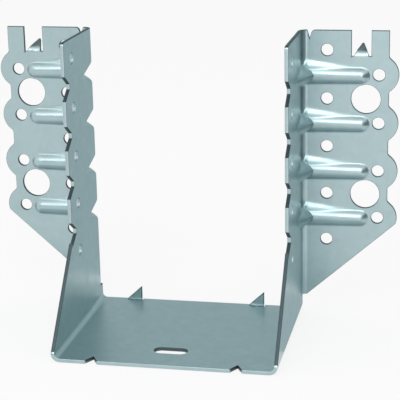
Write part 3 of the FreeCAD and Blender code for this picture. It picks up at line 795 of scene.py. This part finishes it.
def zinc_material(name, light, dull, roughness, grain_size, spread, contrast, bump):
    """Zinc: the grain group drives colour, roughness and bump about the given values."""
    material = bpy.data.materials.new(name)
    material.use_nodes = True
    tree = material.node_tree
    shader = tree.nodes["Principled BSDF"]
    shader.inputs["Metallic"].default_value = 1.0
    grain = tree.nodes.new("ShaderNodeGroup")
    grain.node_tree = zinc_group()
    grain.inputs["Grain"].default_value = 1.0 / grain_size
    grain.inputs["Streak"].default_value = STREAKS / grain_size
    grain.inputs["Contrast"].default_value = contrast
    colour = tree.nodes.new("ShaderNodeMix")
    colour.data_type = "RGBA"
    colour.inputs[6].default_value = (*dull, 1.0)
    colour.inputs[7].default_value = (*light, 1.0)
    tree.links.new(grain.outputs["Tone"], colour.inputs[0])
    tree.links.new(colour.outputs[2], shader.inputs["Base Color"])
    rough = tree.nodes.new("ShaderNodeMapRange")
    rough.inputs["To Min"].default_value = roughness - spread
    rough.inputs["To Max"].default_value = roughness + spread
    tree.links.new(grain.outputs["Gloss"], rough.inputs["Value"])
    tree.links.new(rough.outputs[0], shader.inputs["Roughness"])
    relief = tree.nodes.new("ShaderNodeBump")
    relief.inputs["Strength"].default_value = bump
    relief.inputs["Distance"].default_value = 0.05 * MM
    tree.links.new(grain.outputs["Height"], relief.inputs["Height"])
    tree.links.new(relief.outputs[0], shader.inputs["Normal"])
    return material


def shades(colour, spread=0.1):
    """A lighter and a duller tone about one colour."""
    return [value * (1 + spread) for value in colour], [value * (1 - spread) for value in colour]


def add_object(name, data):
    thing = bpy.data.objects.new(name, data)
    bpy.context.scene.collection.objects.link(thing)
    return thing


def bake_modifiers(piece):
    """Replaces the piece's mesh by what its modifiers make of it."""
    bpy.context.view_layer.update()
    before = piece.data
    made = bpy.data.meshes.new_from_object(
        piece.evaluated_get(bpy.context.evaluated_depsgraph_get()))
    piece.modifiers.clear()
    piece.data = made
    bpy.data.meshes.remove(before)
    made.name = piece.name


def mark_rims(mesh):
    """Bevel weight 1 on the edges where the sheet's faces meet its blanked edge."""
    work = bmesh.new()
    work.from_mesh(mesh)
    weight = work.edges.layers.float.new("bevel_weight_edge")
    for line in work.edges:
        kinds = {face.material_index for face in line.link_faces}
        line[weight] = 1.0 if len(kinds) == 2 else 0.0
    work.to_mesh(mesh)
    work.free()


def keep_faces_flat(mesh):
    """Sharp edges where a blanked edge's round begins, so that it doesn't shade the flats."""
    sharp = math.radians(50)
    work = bmesh.new()
    work.from_mesh(mesh)
    for line in work.edges:
        kinds = {face.material_index for face in line.link_faces}
        line.smooth = len(kinds) == 1 and line.calc_face_angle(0.0) < sharp
    work.to_mesh(mesh)
    work.free()


def coat_front_edge(mesh, size):
    """The seat's front edge is the strip's own edge, so it keeps its zinc."""
    at_front = -size.seat_depth / 2 + 0.3 * MM
    for face in mesh.polygons:
        if face.center.y < at_front and face.normal.y < -0.3:
            face.material_index = COAT


def paint_shade_on_teeth(mesh, size):
    """The sheared teeth and the folds at their roots get a darker copy of the zinc colour: painted
    shade.
    """
    near_header = size.seat_depth / 2 - 3.2 * MM
    above_seat = size.thickness + 0.04 * MM
    clear_of_walls = size.joist_width / 2 - 8 * MM
    for face in mesh.polygons:
        x, y, z = face.center
        in_tooth = y > near_header and z > above_seat and abs(x) < clear_of_walls
        if face.material_index == COAT and in_tooth:
            face.material_index = TEETH_PAINTED_SHADE


def paint_light_on_wall_edges(mesh, size):
    """Painted light: the walls' upright front edges and the rims of their nail holes get a lighter
    edge colour than the tapers, for the light that falls on them.
    """
    slack = 0.1 * MM
    inner = size.joist_width / 2
    hole = size.seat_depth / 2 - size.wall_nail
    below_top = size.height - 4 * MM
    for face in mesh.polygons:
        x, y, z = face.center
        in_wall = inner - slack < abs(x) < inner + size.thickness + slack
        upright = face.normal.y < -0.85 and y < hole
        in_hole = abs(y - hole) < 0.6 * size.nail and z < below_top
        if face.material_index == CUT_AND_SHADE and in_wall and (upright or in_hole):
            face.material_index = PAINTED_LIGHT_EDGE


def zinc_finishes(finish):
    """The materials in the order of their slots."""
    coat = zinc_material("zinc_coat", finish.zinc, finish.zinc_dull, finish.roughness,
                         finish.grain, spread=0.07, contrast=1.0, bump=0.25)
    # Blanked edges: their own bare-steel tone, with painted shade darkening it.
    cut_and_shade = zinc_material("blanked_edge_and_shade", *shades(finish.cut_edge_and_shade), finish.edge_roughness,
                        finish.grain, spread=0.05, contrast=0.6, bump=0.4)
    # Painted shade on the teeth.
    teeth_painted_shade = zinc_material("teeth_zinc_painted_shade", *shades(finish.teeth_painted_shade), finish.teeth_painted_shade_roughness,
                            finish.grain, spread=0.06, contrast=1.0, bump=0.4)
    # Painted light on the walls' upright edges and nail-hole rims.
    bright = zinc_material("painted_light_edge", *shades(finish.painted_light_edge), finish.painted_light_roughness,
                           finish.grain, spread=0.05, contrast=0.6, bump=0.4)
    return coat, cut_and_shade, teeth_painted_shade, bright


def fold_blank(piece, size, coat):
    """Folds the blank and presses its ribs and darts."""
    values = tree_values(size)
    fold = piece.modifiers.new("fold", "NODES")
    fold.node_group = hanger_tree(values)
    for name, value in values.items():
        set_input(fold, name, value)
    set_input(fold, "Material", coat)
    bake_modifiers(piece)


def thicken_sheet(piece, size):
    """Gives the folded sheet its thickness, and a small round to its blanked edges."""
    shell = piece.modifiers.new("thickness", "SOLIDIFY")
    shell.thickness = size.thickness
    shell.offset = 0.0
    # The rims take the blanked-edge colour, which is partly painted shade.
    shell.material_offset_rim = CUT_AND_SHADE
    bake_modifiers(piece)
    mark_rims(piece.data)
    edge = piece.modifiers.new("edge", "BEVEL")
    edge.width = size.edge_round
    edge.segments = 2
    edge.limit_method = "WEIGHT"
    edge.use_clamp_overlap = False
    edge.material = CUT_AND_SHADE
    bake_modifiers(piece)


class JOISTHANGER_OT_sheet(bpy.types.Operator):
    """Folds and presses the blank and gives it its thickness and finish"""
    bl_idname = "joist_hanger.sheet"
    bl_label = "Folded sheet"

    def execute(self, context):
        size = context.scene.hanger_shape
        finishes = zinc_finishes(context.scene.hanger_finish)
        piece = add_object("galvanised_sheet", blank_mesh(size))
        fold_blank(piece, size, finishes[COAT])
        piece.data.materials.clear()
        for material in finishes:
            piece.data.materials.append(material)
        thicken_sheet(piece, size)
        solid = piece.data
        solid.shade_smooth()
        keep_faces_flat(solid)
        coat_front_edge(solid, size)
        paint_shade_on_teeth(solid, size)
        paint_light_on_wall_edges(solid, size)
        if not solid.polygons:
            raise RuntimeError("the folded sheet is empty")
        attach(piece, "root")
        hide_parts(NODE)
        return {"FINISHED"}


# The studio in metres and watts. A lamp has a place, a width, a height and its power.
MIDDLE = (0.0, 0.0, 0.06)
LAMPS = (
    ("key_softbox", (0.0, -0.97, 0.74), 0.9, 0.6, 4.3),
    ("front_panel", (0.4, -1.0, 0.14), 0.7, 0.5, 1.4),
)
# A card has a place, the point that it faces, a width, a height and its tone's property.
CARDS = (
    ("rear_card", (0.0, 0.21, 0.251), (0.0, -0.647, 0.766), 1.4, 0.58, "rear_card"),
    ("front_card", (0.0, -1.6, 0.44), MIDDLE, 2.6, 0.6, "rear_card"),
    ("top_card", (0.0, 0.1, 0.7), MIDDLE, 0.8, 0.4, "dark_card"),
    ("side_card", (0.24, -0.11, 0.1), (0.0, 0.0, 0.1), 0.34, 0.198, "side_card"),
    # The floor card is painted shadow: a darker patch on the floor under and just behind the
    # hanger, seen only in the metal.
    ("floor_shade_card", (0.0, 0.022, 0.0004), (0.0, 0.022, 1.0), 0.2, 0.07, "rear_card"),
)


def area_light(name, place, width, height, power):
    """A white panel of light that faces the middle of the hanger."""
    data = bpy.data.lights.new(name, "AREA")
    data.shape = "RECTANGLE"
    data.size = width
    data.size_y = height
    data.energy = power
    lamp = add_object(name, data)
    lamp.location = place
    lamp.rotation_mode = "QUATERNION"
    lamp.rotation_quaternion = (Vector(MIDDLE) - Vector(place)).to_track_quat("-Z", "Y")


def grey_card(name, place, aim, width, height, colour):
    """A dull card that only shows in the metal, as the dark end of a studio does, or as painted
    shadow on the floor for the floor card.
    """
    across, rise = width / 2, height / 2
    mesh = bpy.data.meshes.new(name)
    mesh.from_pydata([(-across, -rise, 0), (across, -rise, 0), (across, rise, 0),
                      (-across, rise, 0)], [], [(0, 1, 2, 3)])
    turn = (Vector(aim) - Vector(place)).to_track_quat("Z", "Y").to_matrix().to_4x4()
    mesh.transform(Matrix.Translation(place) @ turn)
    material = bpy.data.materials.new(name)
    material.use_nodes = True
    tree = material.node_tree
    tone = tree.nodes.new("ShaderNodeEmission")
    tone.inputs["Color"].default_value = (*colour, 1.0)
    tree.links.new(tone.outputs[0], tree.nodes["Material Output"].inputs["Surface"])
    mesh.materials.append(material)
    card = add_object(name, mesh)
    card.visible_camera = False
    card.visible_diffuse = False
    card.visible_shadow = False


def seen_ray(tree):
    """1 for what the camera sees, straight or in metal or glass, else 0."""
    path = tree.nodes.new("ShaderNodeLightPath")
    first = tree.nodes.new("ShaderNodeMath")
    first.operation = "MAXIMUM"
    tree.links.new(path.outputs["Is Camera Ray"], first.inputs[0])
    tree.links.new(path.outputs["Is Glossy Ray"], first.inputs[1])
    second = tree.nodes.new("ShaderNodeMath")
    second.operation = "MAXIMUM"
    tree.links.new(first.outputs[0], second.inputs[0])
    tree.links.new(path.outputs["Is Transmission Ray"], second.inputs[1])
    return second.outputs[0]


def build_world(studio):
    world = bpy.data.worlds.new("white_studio")
    bpy.context.scene.world = world
    world.use_nodes = True
    tree = world.node_tree
    light = tree.nodes["Background"]
    light.inputs["Color"].default_value = (1.0, 1.0, 1.0, 1.0)
    light.inputs["Strength"].default_value = studio.world_light
    backdrop = tree.nodes.new("ShaderNodeBackground")
    backdrop.inputs["Color"].default_value = (1.0, 1.0, 1.0, 1.0)
    backdrop.inputs["Strength"].default_value = 1.0
    chosen = tree.nodes.new("ShaderNodeMixShader")
    tree.links.new(seen_ray(tree), chosen.inputs[0])
    tree.links.new(light.outputs[0], chosen.inputs[1])
    tree.links.new(backdrop.outputs[0], chosen.inputs[2])
    tree.links.new(chosen.outputs[0], tree.nodes["World Output"].inputs["Surface"])


def floor_material(studio):
    """White floor: most of its brightness is its own, the rest shows soft shadows."""
    material = bpy.data.materials.new("pale_floor")
    material.use_nodes = True
    tree = material.node_tree
    shader = tree.nodes["Principled BSDF"]
    shader.inputs["Base Color"].default_value = (*studio.floor, 1.0)
    shader.inputs["Roughness"].default_value = 0.9
    shader.inputs["Specular IOR Level"].default_value = 0.0
    glow = tree.nodes.new("ShaderNodeEmission")
    glow.inputs["Color"].default_value = (1.0, 1.0, 1.0, 1.0)
    glow.inputs["Strength"].default_value = 1.0
    share = tree.nodes.new("ShaderNodeMath")
    share.operation = "MULTIPLY"
    share.inputs[1].default_value = FLOOR_GLOW
    tree.links.new(seen_ray(tree), share.inputs[0])
    mixed = tree.nodes.new("ShaderNodeMixShader")
    tree.links.new(share.outputs[0], mixed.inputs[0])
    tree.links.new(shader.outputs[0], mixed.inputs[1])
    tree.links.new(glow.outputs[0], mixed.inputs[2])
    tree.links.new(mixed.outputs[0], tree.nodes["Material Output"].inputs["Surface"])
    return material


def add_floor(studio):
    plane = bpy.data.meshes.new("floor")
    work = bmesh.new()
    bmesh.ops.create_grid(work, x_segments=1, y_segments=1, size=4.0)
    work.to_mesh(plane)
    work.free()
    plane.transform(Matrix.Translation((0.0, 0.0, -FLOOR_DROP)))
    plane.materials.append(floor_material(studio))
    add_object("floor", plane)


def add_camera(studio):
    """The camera looks along y, then leans, dips and turns to its heading."""
    data = bpy.data.cameras.new("photo_camera")
    data.lens = studio.lens
    data.sensor_width = 36.0
    data.clip_start = 0.01
    data.clip_end = 20.0
    camera = add_object("photo_camera", data)
    heading, dip, lean = studio.camera_turn
    turn = (Matrix.Rotation(heading, 4, "Z") @ Matrix.Rotation(-dip, 4, "X")
            @ Matrix.Rotation(lean, 4, "Y") @ Matrix.Rotation(QUARTER, 4, "X"))
    camera.matrix_world = Matrix.Translation(studio.camera_place) @ turn
    bpy.context.scene.camera = camera


class JOISTHANGER_OT_stage(bpy.types.Operator):
    """Sets the camera, the floor and the studio light"""
    bl_idname = "joist_hanger.stage"
    bl_label = "Studio"

    def execute(self, context):
        studio = context.scene.hanger_studio
        context.scene.view_settings.view_transform = "Standard"
        add_camera(studio)
        add_floor(studio)
        build_world(studio)
        for lamp in LAMPS:
            area_light(*lamp)
        for name, place, aim, width, height, tone in CARDS:
            grey_card(name, place, aim, width, height, getattr(studio, tone))
        return {"FINISHED"}


class JOISTHANGER_PT_panel(bpy.types.Panel):
    """Lists the steps of the joist hanger"""
    bl_idname = "JOISTHANGER_PT_panel"
    bl_label = "Joist Hanger"
    bl_space_type = "VIEW_3D"
    bl_region_type = "UI"
    bl_category = "Joist Hanger"

    def draw(self, context):
        layout = self.layout
        for operator in OPERATORS:
            layout.operator(operator.bl_idname)
        for group in ("hanger_shape", "hanger_finish", "hanger_studio"):
            box = layout.box()
            owner = getattr(context.scene, group)
            for name in owner.__annotations__:
                box.prop(owner, name)


OPERATORS = (JOISTHANGER_OT_sheet, JOISTHANGER_OT_stage)
GROUPS = (
    ("hanger_shape", HangerShape),
    ("hanger_finish", HangerFinish),
    ("hanger_studio", HangerStudio),
)


def register():
    for name, group in GROUPS:
        bpy.utils.register_class(group)
        setattr(bpy.types.Scene, name, PointerProperty(type=group))
    for operator in OPERATORS:
        bpy.utils.register_class(operator)
    bpy.utils.register_class(JOISTHANGER_PT_panel)


def unregister():
    bpy.utils.unregister_class(JOISTHANGER_PT_panel)
    for operator in reversed(OPERATORS):
        bpy.utils.unregister_class(operator)
    for name, group in reversed(GROUPS):
        delattr(bpy.types.Scene, name)
        bpy.utils.unregister_class(group)


def main():
    register()
    bpy.ops.joist_hanger.sheet()
    bpy.ops.joist_hanger.stage()


if __name__ == "__main__":
    main()
